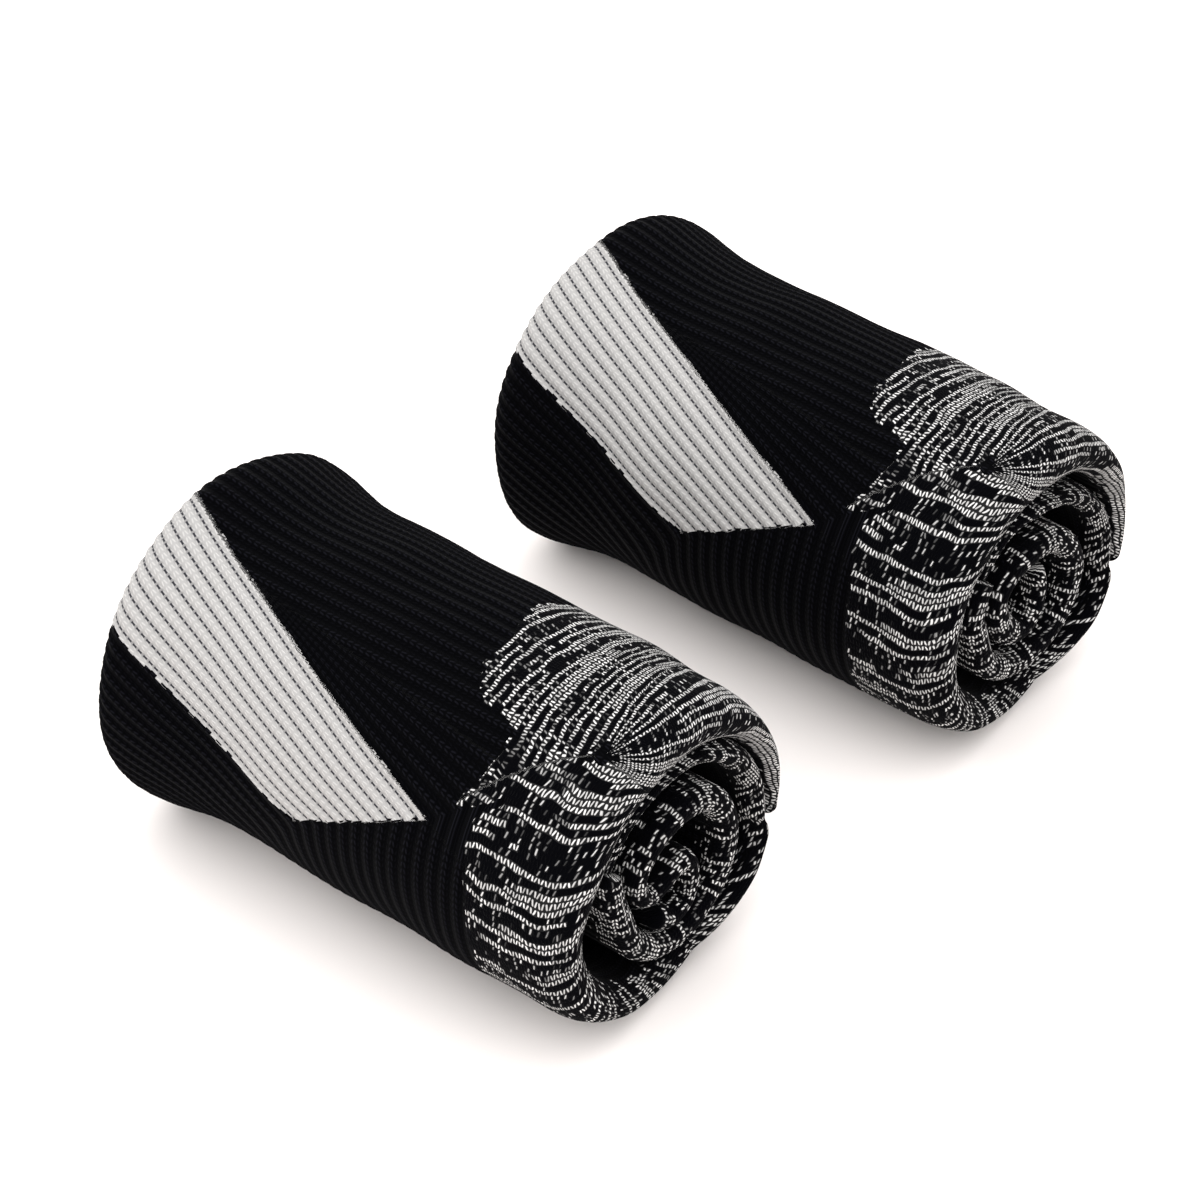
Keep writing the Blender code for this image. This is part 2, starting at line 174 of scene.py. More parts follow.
# %% The number of each rib
LEG_PITCH, SLANT_PITCH, FOOT_PITCH = 3.0, 2.7, 3.1
SLANT = math.radians(22.9)  # how steeply the slanting ribs come down
FOOT_SHIFT = 0.75  # puts the bend from the slanting ribs to the foot's where it belongs
SLANT_TOP = (-34.0, 39.5)  # where the slanting ribs and those along the leg part
FAN_END = math.radians(-7.0)
FAN_REACH = 50.0  # where the fan between them has its full pitch
BEND_TIGHT, BEND_SOFTER, BEND_SOFT_AT = 0.3, 7.0, 34.0  # the bend to the foot softens to -X


def rib_number(s, w):
    """Which rib a point lies on; whole numbers are the grooves between ribs."""
    slant = (s * math.sin(SLANT) + w * math.cos(SLANT)) / SLANT_PITCH
    foot = s / FOOT_PITCH + FOOT_SHIFT
    bend = BEND_TIGHT + BEND_SOFTER * soft_step(-s, 0.0, BEND_SOFT_AT)
    lower = np.maximum(slant, foot) + np.maximum(bend - np.abs(slant - foot), 0.0) ** 2 / bend / 4
    turn = np.arctan2(w - SLANT_TOP[1], s - SLANT_TOP[0])
    edge = (SLANT_TOP[0] * math.sin(SLANT) + SLANT_TOP[1] * math.cos(SLANT)) / SLANT_PITCH
    fan = np.maximum(edge + (turn + SLANT) * FAN_REACH / SLANT_PITCH, foot)
    along_leg = w / LEG_PITCH
    above = np.where((turn > FAN_END) | (s < SLANT_TOP[0]), along_leg, fan)
    on_leg = w > SLANT_TOP[1] - (s - SLANT_TOP[0]) * math.tan(SLANT)
    return np.where(on_leg, above, lower)


def along_ribs(s, w):
    """The distance along a rib, for its stitches."""
    slant = s * math.cos(SLANT) - w * math.sin(SLANT)
    on_leg = w > SLANT_TOP[1] - (s - SLANT_TOP[0]) * math.tan(SLANT)
    on_foot = s / FOOT_PITCH + FOOT_SHIFT > (
        (s * math.sin(SLANT) + w * math.cos(SLANT)) / SLANT_PITCH
    )
    return np.where(on_leg, s, np.where(on_foot, -w, slant))


# %% [markdown]
# ## The heel, the sole and the band
# The heel pouch and the sole are plain knit in a marled yarn, black twisted with grey. The heel
# is knitted to and fro, so its courses fan out from the gore, the slanting line where it joins
# the sole. The outlines are short lists of corners on the flat cloth, and each point of the
# surface stores how far inside it lies. A broad plain light grey band crosses the leg.

# %% Zones of the cloth
MARL_OUTLINE = (
    # s, w: from the heel's point at the ankle, round the sole, the end and the back of the leg
    (29.5, 20.8), (34.3, 22.8), (38.5, 26.0), (37.6, 23.6), (35.0, 22.0), (33.8, 19.6),
    (34.0, 14.0), (36.0, 3.0), (37.0, -15.0), (36.5, -33.0), (36.5, -400.0), (400.0, -400.0),
    (400.0, 200.0), (15.0, 200.0), (15.0, 67.0), (18.0, 56.0), (19.0, 47.0), (20.5, 42.8),
    (25.4, 39.7), (33.0, 38.5), (33.0, 34.2), (32.0, 26.9),
)
BAND_TOP, BAND_WIDTH, BAND_END = (-28.0, 37.0), 27.0, (2.6, 0.523)  # its end: w at s = 0, slope
BAND_PAST = 60.0  # it runs on past the leg's edge
GORE = (51.0, 41.0)  # the gore's end at the heel, s and w
GORE_PAINTED_SHADE = 1.4  # the heel puckers there, and its shade is painted black
GORE_START, GORE_DROP, GORE_BEND = 29.0, 20.0, 1.35  # its other end, how far below it, how curved
FRONT_FROM, FRONT_SWEEP = 34.0, 0.02  # the heel's courses sweep forward into its front corner
HEEL_LEAN, LEAN_FROM = 0.24, 28.0  # they lean more towards the gore's end
FAN_RADIUS, FAN_GROWTH = 14.0, 0.8
SOLE_COURSES = 0.74  # the sole's stitches are longer than the heel's


def band_outline():
    """A straight band along the slanting ribs, from the leg's edge to where they turn down."""
    along = np.array([math.cos(SLANT), -math.sin(SLANT)])
    across = np.array([-math.sin(SLANT), -math.cos(SLANT)])
    top = np.array(BAND_TOP)
    bottom = top + across * BAND_WIDTH
    ends = []
    for corner in (top, bottom):
        rise = BAND_END[0] + BAND_END[1] * corner[0] - corner[1]
        ends.append(corner + along * rise / (along[1] - BAND_END[1] * along[0]))
    return [top - along * BAND_PAST, *ends, bottom - along * BAND_PAST]


def depth_inside(s, w, outline):
    """The distance to an outline's nearest edge, positive inside it."""
    nearest = np.full(s.shape, 1e9)
    inside = np.zeros(s.shape, bool)
    for (x0, y0), (x1, y1) in zip(outline, [*outline[1:], outline[0]]):
        dx, dy = x1 - x0, y1 - y0
        t = np.clip(((s - x0) * dx + (w - y0) * dy) / (dx * dx + dy * dy), 0.0, 1.0)
        nearest = np.minimum(nearest, np.hypot(s - x0 - t * dx, w - y0 - t * dy))
        crosses = (y0 > w) != (y1 > w)
        height = dy if abs(dy) > 1e-9 else 1e-9
        inside ^= crosses & (s < x0 + (w - y0) * dx / height)
    return np.where(inside, nearest, -nearest)


def marl_cells(s, w):
    """Distances along and across the courses of the heel and the sole."""
    share = np.clip((GORE[0] - s) / (GORE[0] - GORE_START), 0.0, 1.0)
    gore_line = GORE[1] - GORE_DROP * share**GORE_BEND
    lean = HEEL_LEAN * soft_step(s, LEAN_FROM, GORE[0])
    swept = FRONT_SWEEP * np.maximum(FRONT_FROM - w, 0.0) ** 2
    left = s - GORE[0] + lean * (w - GORE[1]) + swept
    turn = np.arctan2(s - GORE[0], w - GORE[1]) + math.atan(HEEL_LEAN)
    reach = np.hypot(s - GORE[0], w - GORE[1])
    fan = np.clip(turn, 0.0, 2.0) * np.hypot(FAN_RADIUS, FAN_GROWTH * reach)
    quarter = math.pi / 2 + math.atan(HEEL_LEAN)
    in_fan = (w > GORE[1]) & (turn > 0)
    across = np.where(in_fan, fan, left)
    along = np.where(in_fan, reach + GORE[1], w)
    sole = (w < gore_line) | ((s > GORE[0]) & (w <= GORE[1]))
    beyond = np.hypot(FAN_RADIUS, FAN_GROWTH * np.maximum(s - GORE[0], 0.0)) * quarter
    across = np.where(sole, beyond + (GORE[1] - w) * SOLE_COURSES, across)
    along = np.where(sole, s, along)
    return along, across


# %% [markdown]
# ## A wall of cloth as a grid
# Every turn is a grid of points: a row for each step along the cloth, and columns that run from
# one folded edge over the outer face to the other edge and back along the inner face. Computing
# the grid with numpy keeps a hundred thousand points quick. The ribs are pressed into the face
# as grooves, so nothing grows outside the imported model. Seven rows for each rib of the leg and
# five columns for each rib of the foot are enough for smooth shading.

# %% Grids of points
RIB_DEPTH = 0.34
DENT_DEPTH = 0.7  # the shallow dents that handling leaves
INNER_COLUMNS = 14


def face_points(left, right, lips, height, tips, body, lip_points):
    """x and height over one face of a wall, from its left edge to its right one."""
    low, high = left + lips[0], right - lips[1]
    turn = np.linspace(0.0, math.pi / 2, lip_points[0], endpoint=False)[None, :]
    x_left = left + lips[0] * (1 - np.cos(turn))
    h_left = tips[0] + (height(low) - tips[0]) * np.sin(turn)
    x_body = low + (high - low) * body[None, :]
    turn = np.linspace(0.0, math.pi / 2, lip_points[1], endpoint=False)[None, ::-1]
    x_right = right - lips[1] * (1 - np.cos(turn))
    h_right = tips[1] + (height(high) - tips[1]) * np.sin(turn)
    x = np.concatenate([x_left, x_body, x_right], axis=1)
    return x, np.concatenate([h_left, height(x_body), h_right], axis=1)


def running_length(x, h):
    """The distance along each row of points from where it crosses the middle of the roll."""
    steps = np.hypot(np.diff(x, axis=1), np.diff(h, axis=1))
    length = np.concatenate([np.zeros((len(x), 1)), np.cumsum(steps, axis=1)], axis=1)
    middle = [np.interp(0.0, x[k], length[k]) for k in range(len(x))]
    return length - np.array(middle)[:, None]


def wall_grid(foot, normal, left, right, lips, outer, inner, body_columns, lip_columns):
    """Points and s of a wall as closed rows: the outer face, then the inner one backwards.

    foot and normal are y and z of each row; outer and inner give heights along the normal at x.
    lip_columns counts the columns of the left and right lips, outer face first.
    """
    left, right = left + np.zeros((len(foot), 1)), right + np.zeros((len(foot), 1))
    tips = (
        (outer(left + lips[0]) + inner(left + lips[1])) / 2,
        (outer(right - lips[2]) + inner(right - lips[3])) / 2,
    )
    body = np.linspace(0.0, 1.0, body_columns)
    x_out, h_out = face_points(left, right, lips[0::2], outer, tips, body, lip_columns[0])
    body = np.linspace(0.0, 1.0, INNER_COLUMNS)
    x_in, h_in = face_points(left, right, lips[1::2], inner, tips, body, lip_columns[1])
    s_out, s_in = running_length(x_out, h_out), running_length(x_in, h_in)
    past_right = s_out[:, -1:] + s_in[:, -1:] - s_in
    past_left = s_out[:, :1] + s_in[:, :1] - s_in
    s_in = np.where(x_in > 0, past_right, past_left)  # s runs on past an edge
    x = np.concatenate([x_out, x_in[:, -2:0:-1]], axis=1)
    h = np.concatenate([h_out, h_in[:, -2:0:-1]], axis=1)
    s = np.concatenate([s_out, s_in[:, -2:0:-1]], axis=1)
    z_way = normal[:, 1:2]
    floor = (AXIS_HEIGHT + foot[:, 1:2]) / np.maximum(-z_way, 1e-6)
    h = np.where(z_way < 0, np.minimum(h, floor), h)
    y = foot[:, 0:1] + normal[:, 0:1] * h
    z = np.maximum(AXIS_HEIGHT + foot[:, 1:2] + z_way * h, 0.0)
    return np.stack([x + 0 * y, y, z], axis=2), s, x_out.shape[1]


def grid_normals(points):
    """The outward normals of closed rows of points."""
    along = np.gradient(points, axis=0)
    across = np.roll(points, -1, axis=1) - np.roll(points, 1, axis=1)
    normal = np.cross(across, along)
    return normal / np.maximum(np.linalg.norm(normal, axis=2, keepdims=True), 1e-9)


def dents(s, w, seed):
    """Shallow, uneven dents between 0 and 1."""
    total = 0.0
    for k in range(6):
        turn = seed * 2.3 + k * 1.9
        size = 0.11 + 0.035 * k
        total = total + np.sin((s * math.cos(turn) + w * math.sin(turn)) * size + 5.1 * k + seed)
    return np.clip(0.5 + total / 7.0, 0.0, 1.0)


# %% [markdown]
# ## From points to a mesh
# A grid becomes a mesh of four-sided faces, closed at its first and last rows by narrow caps.
# Each corner also keeps what the knit's materials have to know there, as UV maps that hold
# millimetres instead of places on a picture, so the pattern follows the cloth round the roll.

# %% Meshes and their maps
PAINTED_SHADE_PAST_EDGE = 5.5  # marl shows this far past a folded edge; deeper the cloth is painted black, as shade
EDGE_RAGGED = 0.3  # how sharply it ends there
NOT_MARLED = -10.0  # a depth well outside the marl or the band


def cap(outer, inner):
    """Triangles between two rows of vertices that share their first and last ones."""
    faces, i, k = [], 0, 0
    while i < len(outer) - 1 or k < len(inner) - 1:
        outer_next = (i + 1) / (len(outer) - 1)
        inner_next = (k + 1) / (len(inner) - 1)
        if k == len(inner) - 1 or (i < len(outer) - 1 and outer_next <= inner_next):
            corners, i = (outer[i], outer[i + 1], inner[k]), i + 1
        else:
            corners, k = (outer[i], inner[k + 1], inner[k]), k + 1
        if len(set(corners)) == 3:
            faces.append(corners)
    return faces


def make_piece(name, sock, points, layers, outer_columns):
    """A closed mesh of a wall's grid, placed as its sock lies.

    layers holds a pair of values for each point, which become UV maps in millimetres.
    """
    rows, columns = points.shape[:2]
    yaw = math.radians(sock["yaw"])
    x = points[..., 0] * math.cos(yaw) - points[..., 1] * math.sin(yaw) + sock["place"][0]
    y = points[..., 0] * math.sin(yaw) + points[..., 1] * math.cos(yaw) + sock["place"][1]
    places = np.stack([x, y, points[..., 2]], axis=2).reshape(-1, 3) * MM
    index = np.arange(rows * columns).reshape(rows, columns)
    after = np.roll(index, -1, axis=1)
    quads = np.stack([index[:-1], after[:-1], after[1:], index[1:]], axis=2).reshape(-1, 4)
    faces = quads.tolist()
    for row in (index[0], index[-1]):
        outer_row = row[:outer_columns].tolist()
        inner_row = [outer_row[0], *row[outer_columns:][::-1].tolist(), outer_row[-1]]
        faces += cap(outer_row, inner_row)
    mesh = bpy.data.meshes.new(name)
    mesh.from_pydata(places.tolist(), [], faces)
    loops = np.zeros(len(mesh.loops), int)
    mesh.loops.foreach_get("vertex_index", loops)
    for layer, (u, v) in layers.items():
        corners = np.stack([u.reshape(-1)[loops], v.reshape(-1)[loops]], axis=1)
        mesh.uv_layers.new(name=layer).data.foreach_set("uv", corners.reshape(-1))
    piece = bpy.data.objects.new(name, mesh)
    bpy.context.scene.collection.objects.link(piece)
    face_outwards(piece)
    print(name, f"{len(mesh.vertices)} points, {len(mesh.polygons)} faces")
    return piece


def face_outwards(piece):
    """Every face pointing out, shaded smooth."""
    bpy.ops.object.select_all(action="DESELECT")
    bpy.context.view_layer.objects.active = piece
    piece.select_set(True)
    bpy.ops.object.mode_set(mode="EDIT")
    bpy.ops.mesh.select_all(action="SELECT")
    bpy.ops.mesh.normals_make_consistent(inside=False)
    bpy.ops.object.mode_set(mode="OBJECT")
    bpy.ops.object.shade_smooth()
    piece.select_set(False)


def knit_layers(s, w, outer_columns):
    """The pairs of values that the knit's materials read at each point."""
    along, across = marl_cells(s, w)
    past = np.maximum(s - s[:, outer_columns - 1 : outer_columns], s[:, :1] - s)
    from_gore = np.hypot(s - GORE[0], w - GORE[1])
    # Painted shade: past the folded edges the marl gives way to black inside the roll's hollows.
    marl = np.minimum(depth_inside(s, w, MARL_OUTLINE), EDGE_RAGGED * (PAINTED_SHADE_PAST_EDGE - past))
    # Painted shade: round the gore's end, where the heel puckers, the marl gives way to black.
    marl = np.minimum(marl, 0.5 * from_gore - GORE_PAINTED_SHADE)
    return {
        "ribs": (rib_number(s, w), along_ribs(s, w)),
        "courses": (along, across),
        "zones": (marl, depth_inside(s, w, band_outline())),
    }


def pressed(points, s, w, outer_columns, seed):
    """The grid with its grooves and dents, fading out along the hidden inner face."""
    columns = points.shape[1]
    shown = np.ones(columns)
    hidden = np.arange(outer_columns, columns)
    from_edge = np.minimum(hidden - outer_columns, columns - 1 - hidden)
    shown[outer_columns:] = 1 - soft_step(from_edge, 2.0, 6.0)
    marl = soft_step(depth_inside(s, w, MARL_OUTLINE), -0.4, 0.8)
    groove = 0.5 + 0.5 * np.cos(2 * math.pi * rib_number(s, w))
    depth = DENT_DEPTH * dents(s, w, seed) + RIB_DEPTH * groove * (1 - marl)
    depth = depth * shown[None, :]
    moved = points - grid_normals(points) * depth[..., None]
    moved[..., 2] = np.maximum(moved[..., 2], 0.0)
    return moved


# %% [markdown]
# ## The outermost turn: leg and heel
# This is the turn that shows most. It starts at the underside, passes the front and the top and
# ends in a free edge low behind the roll, where the corner of the heel is rounded. Its edge at
# the heel is drawn in over a longer stretch than the one at the leg.

# %% Leg and heel
UNDER_STEP, FINE_FROM = 0.84, -42.0  # wider steps under the roll, where ribs run lengthways
ROW_STEP = LEG_PITCH / 7
COLUMN_STEP = FOOT_PITCH / 5
LEG_LIP_COLUMNS = ((10, 20), (7, 8))
ROUND_ROWS, LEAST_WALL = 9, 0.06  # the free edge's rounding, and its last row's share of the wall
SEAM_REACH = 0.2  # it reaches this far past the seam's line, into the gap


def leg_and_heel(name, sock, seed):
    start = math.radians(UNDERSIDE_SEAM) * ROLL_RADIUS - SEAM_REACH
    end = math.radians(FREE_EDGE) * ROLL_RADIUS
    last = math.floor((end - FREE_EDGE_ROUND) / ROW_STEP)
    rows = np.arange(math.ceil(FINE_FROM / ROW_STEP), last)
    turn = np.linspace(0.0, math.pi / 2, ROUND_ROWS)
    edge = end - FREE_EDGE_ROUND * (1 - np.sin(turn))
    w = np.concatenate([np.arange(start, FINE_FROM - 0.5, UNDER_STEP), rows * ROW_STEP, edge])
    angle = np.degrees(w / ROLL_RADIUS)
    end_radius = column(LEG_TABLE, angle, 1)[:, None]
    lip_radius = column(LEG_TABLE, angle, 2)[:, None]
    to_edge = end - w
    short = HEEL_CORNER - np.minimum(to_edge, HEEL_CORNER)
    corner = HEEL_CORNER - np.sqrt(np.maximum(HEEL_CORNER**2 - short**2, 0.0))
    past = 1 - np.minimum(to_edge / FREE_EDGE_ROUND, 1.0)
    thin = np.maximum(np.sqrt(1 - past**2), LEAST_WALL)[:, None]

    def faces(x):
        flare = ROLL_RADIUS + smooth_curve(x, *zip(*FLARE_TABLE))
        drawn_in = ROLL_RADIUS + (end_radius - ROLL_RADIUS) * looseness(x)
        outer = np.where(x > 0, drawn_in, flare)
        inner = ROLL_RADIUS - WALL + (lip_radius - ROLL_RADIUS + WALL) * looseness(x)
        middle = (outer + inner) / 2
        return middle + (outer - middle) * thin, middle + (inner - middle) * thin

    normal = np.stack(radial(angle + sock["spin"]), axis=1)
    left = -ROLL_LENGTH / 2 + LEG_RECESS
    right = (ROLL_LENGTH / 2 - corner - column(LEG_TABLE, angle, 3))[:, None]
    body_columns = round((ROLL_LENGTH - LEG_LIP[0] - LEG_LIP[2]) / COLUMN_STEP)
    points, s, outer_columns = wall_grid(
        np.zeros((len(w), 2)), normal, left, right, LEG_LIP,
        lambda x: faces(x)[0], lambda x: faces(x)[1], body_columns, LEG_LIP_COLUMNS,
    )
    w = w[:, None] + 0 * s
    points = pressed(points, s, w, outer_columns, seed)
    return make_piece(name, sock, points, knit_layers(s, w, outer_columns), outer_columns)


# %% [markdown]
# ## The turn before it: the foot
# The foot passes under the outermost turn, so it shows only low behind the roll and as a rim at
# both ends. It carries on where the leg's underside stops, and so do its ribs and its sole.

# %% Foot turn
FOOT_STEP, EDGE_FROM, EDGE_ROWS = 1.5, -104.0, 50  # its last rows lie closer together
FOOT_LIP_COLUMNS = ((9, 11), (8, 9))


def foot_turn(name, sock, seed):
    start = math.radians(INNER_SEAM) * ROLL_RADIUS
    end = math.radians(UNDERSIDE_SEAM) * ROLL_RADIUS - SEAM_GAP
    rows = np.arange(start, EDGE_FROM, FOOT_STEP)
    w = np.concatenate([rows, np.linspace(EDGE_FROM, end, EDGE_ROWS)])
    angle = np.degrees(w / ROLL_RADIUS)
    packed, end_outer, end_inner = (column(FOOT_TABLE, angle, n)[:, None] for n in (1, 2, 3))
    hump = np.clip((angle - DROP_FROM) / (DROP_TO - DROP_FROM), 0.0, 1.0)[:, None]
    drop = sock["rim_drop"] * np.sin(math.pi * hump) ** 2
    end_outer, end_inner = end_outer - drop, end_inner - drop
    normal = np.stack(radial(angle + sock["spin"]), axis=1)
    merged = soft_step(angle, MERGE_FROM, MERGE_TO)[:, None]
    lips = [own + (leg - own) * merged for own, leg in zip(FOOT_LIP, LEG_LIP)]
    left = -ROLL_LENGTH / 2 + FOOT_RECESS + (LEG_RECESS - FOOT_RECESS) * merged

    def outer(x):
        own = packed + (end_outer - packed) * looseness(x)
        flare = packed + smooth_curve(x, *zip(*FLARE_TABLE))
        return np.where(x > 0, own, own + (flare - own) * merged)

    body_columns = round((ROLL_LENGTH - FOOT_LIP[0] - FOOT_LIP[2]) / COLUMN_STEP)
    points, s, outer_columns = wall_grid(
        np.zeros((len(w), 2)), normal,
        left, (ROLL_LENGTH / 2 - column(FOOT_TABLE, angle, 4))[:, None], lips, outer,
        lambda x: packed - WALL + (end_inner - packed + WALL) * looseness(x),
        body_columns, FOOT_LIP_COLUMNS,
    )
    w = w[:, None] + 0 * s
    points = pressed(points, s, w, outer_columns, seed)
    return make_piece(name, sock, points, knit_layers(s, w, outer_columns), outer_columns)


# %% [markdown]
# ## The turns inside: the toe
# The toe makes one loop and then curls up inside it. Both show only at the ends. The wall
# follows a smooth path through the loop's and the curl's own points, and in the middle of the
# roll, where the layers are packed, a plain rounded core stands for them.

# %% Toe roll
PATH_STEP = 1.0
LOOP_STEP = 22.0
TOE_COLUMNS, TOE_LIP_COLUMNS = 60, ((8, 8), (8, 8))
TOE_PAINTED_SHADE_PAST_EDGE = PAINTED_SHADE_PAST_EDGE + 2.0
CORE_STEP, CORE_CAP = 6.0, 30  # degrees, and the points of half a ring
CORE_ROUND, CORE_UNDER = 2.0, 0.9  # the core's rounded ends, and how far inside the wall it lies
CORE_MIDDLE = 0.3  # the radius where its end caps close


def smooth_path(points, step):
    """Points about step apart on a smooth curve (Catmull-Rom) through rows of numbers."""
    points = [np.array(point, float) for point in points]
    points = [2 * points[0] - points[1], *points, 2 * points[-1] - points[-2]]
    path = []
    for a, b, c, d in zip(points, points[1:], points[2:], points[3:]):
        count = max(1, round(float(np.linalg.norm(c - b)) / step))
        for t in np.arange(count) / count:
            line = 2 * b + (c - a) * t + (2 * a - 5 * b + 4 * c - d) * t**2
            path.append(0.5 * (line + (3 * b - a - 3 * c + d) * t**3))
    return np.array([*path, points[-2]])


def toe_path(sock):
    """The middle of the toe's wall, from the inner seam to the toe: y, z and thickness."""
    (middle_y, middle_z), (width, height) = sock["loop_centre"], sock["loop_size"]
    start_outer, start_inner = FOOT_TABLE[0][2:4]
    start_y, start_z = radial(INNER_SEAM - 1.0)
    middle = (start_outer + start_inner) / 2
    route = [(start_y * middle, start_z * middle, start_outer - start_inner)]
    for low, high in zip(LOOP_TABLE, LOOP_TABLE[1:]):
        stops = max(1, round((low[0] - high[0]) / LOOP_STEP))
        for k in range(stops):
            angle, radius, _ = (a + (b - a) * k / stops for a, b in zip(low, high))
            y, z = radial(angle)
            route.append((y * radius, z * radius, low[2]))
    angle, radius, thick = LOOP_TABLE[-1]
    y, z = radial(angle)
    route += [(y * radius, z * radius, thick), *sock["curl"]]
    route[1:] = [(middle_y + y * width, middle_z + z * height, t) for y, z, t in route[1:]]
    return smooth_path(route, PATH_STEP)


def turned(pairs, spin):
    """y and z turned about the roll's axis as its angles are."""
    c, s = math.cos(math.radians(spin)), math.sin(math.radians(spin))
    return np.stack([pairs[:, 0] * c + pairs[:, 1] * s, pairs[:, 1] * c - pairs[:, 0] * s], axis=1)


def packed_layers(name, sock):
    """The plain core in the middle of the roll, as rows of points about its axis."""
    angle = np.arange(0.0, 360.0, CORE_STEP) + INNER_SEAM
    reach = column(FOOT_TABLE, angle, 1) - WALL - CORE_UNDER
    reach = np.where(angle > UNDERSIDE_SEAM, ROLL_RADIUS - WALL - CORE_UNDER, reach)
    y, z = radial(angle + sock["spin"])
    rows = []
    for x, inset in [
        (-PACKED_TO, reach), (-PACKED_TO, CORE_ROUND), (-PACKED_TO + CORE_ROUND, 0.0),
        (0.0, 0.0), (PACKED_TO - CORE_ROUND, 0.0), (PACKED_TO, CORE_ROUND), (PACKED_TO, reach),
    ]:
        r = np.maximum(reach - inset, CORE_MIDDLE)
        rows.append(np.stack([x + 0 * y, y * r, AXIS_HEIGHT + z * r], axis=1))
    points = np.array(rows)
    s = points[..., 0]
    w = angle[None, :] / 2 + 0 * s
    outside = 0 * s + NOT_MARLED
    layers = {"ribs": (w, s), "courses": (s, w), "zones": (outside, outside)}
    return make_piece(name, sock, points, layers, CORE_CAP)


def toe_roll(name, sock, seed):
    path = toe_path(sock)
    ahead = np.gradient(path[:, :2], axis=0)
    ahead /= np.linalg.norm(ahead, axis=1, keepdims=True)
    normal = np.stack([ahead[:, 1], -ahead[:, 0]], axis=1)
    normal[0] = radial(INNER_SEAM - 1.0)
    half = path[:, 2:3] / 2
    points, s, outer_columns = wall_grid(
        turned(path[:, :2], sock["spin"]), turned(normal, sock["spin"]),
        -ROLL_LENGTH / 2 + TOE_RECESS[0], ROLL_LENGTH / 2 - TOE_RECESS[1], TOE_LIP,
        lambda x: half + 0 * x, lambda x: -half + 0 * x, TOE_COLUMNS, TOE_LIP_COLUMNS,
    )
    w = np.arange(len(path))[:, None] * PATH_STEP + 0 * s
    right_edge, left_edge = s[:, outer_columns - 1 : outer_columns], s[:, :1]
    from_edge = np.minimum(np.abs(s - right_edge), np.abs(s - left_edge))
    layers = {
        "ribs": (w / LEG_PITCH, s),
        "courses": (s, w),
        # Painted shade: away from its folded edges the toe is drawn black, deep in the roll.
        "zones": (EDGE_RAGGED * (TOE_PAINTED_SHADE_PAST_EDGE - from_edge), 0 * s + NOT_MARLED),
    }
    roll = make_piece(name, sock, points, layers, outer_columns)
    bpy.ops.object.select_all(action="DESELECT")
    packed_layers(f"{name}_core", sock).select_set(True)
    roll.select_set(True)
    bpy.context.view_layer.objects.active = roll
    bpy.ops.object.join()
    return roll


# %% [markdown]
# ## Both socks
# The far sock is rolled a little further round and has a loop and a curl of its own, and each
# sock has its own dents, so the two are a pair but not copies.

# %% Make the turns
pieces = {}
for sock_name, sock in SOCKS.items():
    seed = 1.0 if sock_name == "near_sock" else 4.0
    pieces[f"{sock_name}_leg_and_heel"] = leg_and_heel(f"{sock_name}_leg", sock, seed)
    pieces[f"{sock_name}_foot_turn"] = foot_turn(f"{sock_name}_foot", sock, seed)
    pieces[f"{sock_name}_toe_roll"] = toe_roll(f"{sock_name}_toe", sock, seed)

# %% [markdown]
# ## Knitted yarn as a material
# Each finish is one node material. It reads the pairs of millimetre values that the meshes
# carry: the rib number with the distance along the rib, the distances along and across the
# courses of the marl, and the depths inside the marl and the band.

# %% Colours and one function for nodes
# The ridges' lighter black is a painted highlight, not a yarn of its own.
KNIT_BLACK, RIDGE_PAINTED_GLEAM = "#020203", "#101015"
# The band's dark colour draws its dots of black yarn and also painted shade between its stitches.
BAND_GREY, BAND_DOTS_AND_PAINTED_SHADE = "#b4b2b0", "#2c2c31"
MARL_BLACK, MARL_GREY = "#030305", "#e2e0de"


def linear(code):
    """An sRGB hex colour as linear values with full alpha."""
    values = [int(code[k : k + 2], 16) / 255 for k in (1, 3, 5)]
    low = [v / 12.92 if v <= 0.04045 else ((v + 0.055) / 1.055) ** 2.4 for v in values]
    return (*low, 1.0)


def add(tree, kind, inputs, output=0, **settings):
    """Adds a node with its settings and its values or links; gives one of its outputs."""
    node = tree.nodes.new(kind)
    for name, value in settings.items():
        setattr(node, name, value)
    for socket, value in inputs.items():
        if isinstance(value, bpy.types.NodeSocket):
            tree.links.new(value, node.inputs[socket])
        else:
            node.inputs[socket].default_value = value
    return node.outputs[output]


def pair(tree, layer):
    """The two values of a UV map."""
    uv = add(tree, "ShaderNodeUVMap", {}, uv_map=layer)
    first = add(tree, "ShaderNodeSeparateXYZ", {0: uv})
    return first, first.node.outputs[1]


# %% [markdown]
# ## A stitch
# A stitch of plain knit is a pair of slanting legs of yarn, which stand highest in the middle of
# their course and dip under the next one. One small pattern draws them from the fractions of a
# wale and a course. Each stitch also has a random value of its own, for yarn is never even.

# %% One stitch of plain knit
LEG_SLANT, LEG_APART = -0.22, 0.37  # in widths of a stitch
YARN_CORE, YARN_EDGE = 0.04, 0.17  # its full height and its end, away from a leg's middle
BELLY_FROM, BELLY_TO, DIP = 0.3, 0.8, 0.08  # a leg's rise from where it dips under


